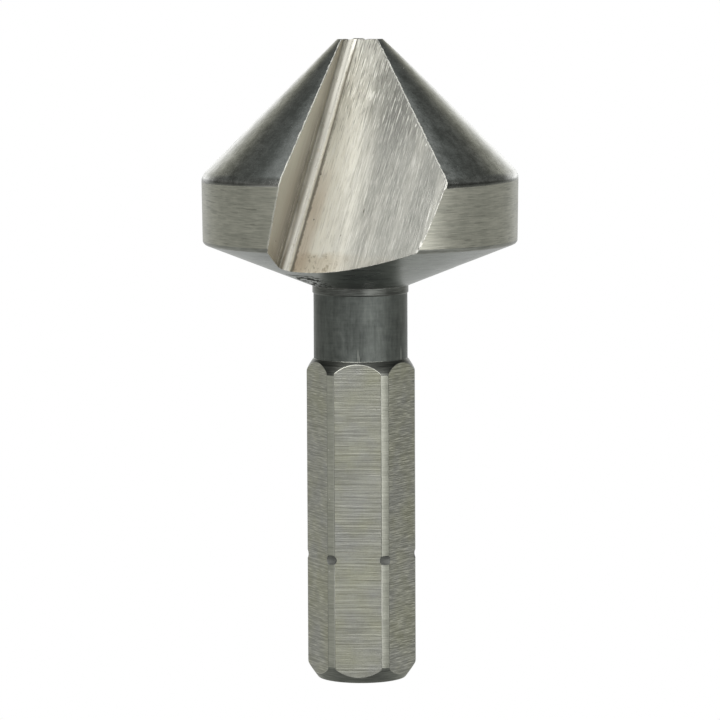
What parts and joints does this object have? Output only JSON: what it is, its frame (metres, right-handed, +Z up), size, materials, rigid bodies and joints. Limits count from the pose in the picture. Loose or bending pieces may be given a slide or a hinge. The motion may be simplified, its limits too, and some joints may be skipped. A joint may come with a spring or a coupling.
{
  "type": "countersink bit",
  "caption": "Countersink bit: a fluted 90 degree cutting cone above a short cylindrical band and back cone, a slim neck, and a hexagonal bit shank with ball-detent notches.",
  "frame": {"origin": "centre of the flat end face of the hexagon shank, the lowest point of the bit when it stands on its shank", "axes": "+Z up the tool's axis towards the cutting tip, -Y out of the front flute, +X to the right of someone who looks into that flute; the bit cuts when it turns clockwise seen from the shank end, looking towards the tip"},
  "size_m": [0.0204, 0.0197, 0.0416],
  "materials": {
    "ground_steel": "ground and lightly polished tool steel, satin in the flutes and on the shank"
  },
  "bodies": {
    "root": {"countersink_bit": "ground_steel"}
  },
  "joints": []
}
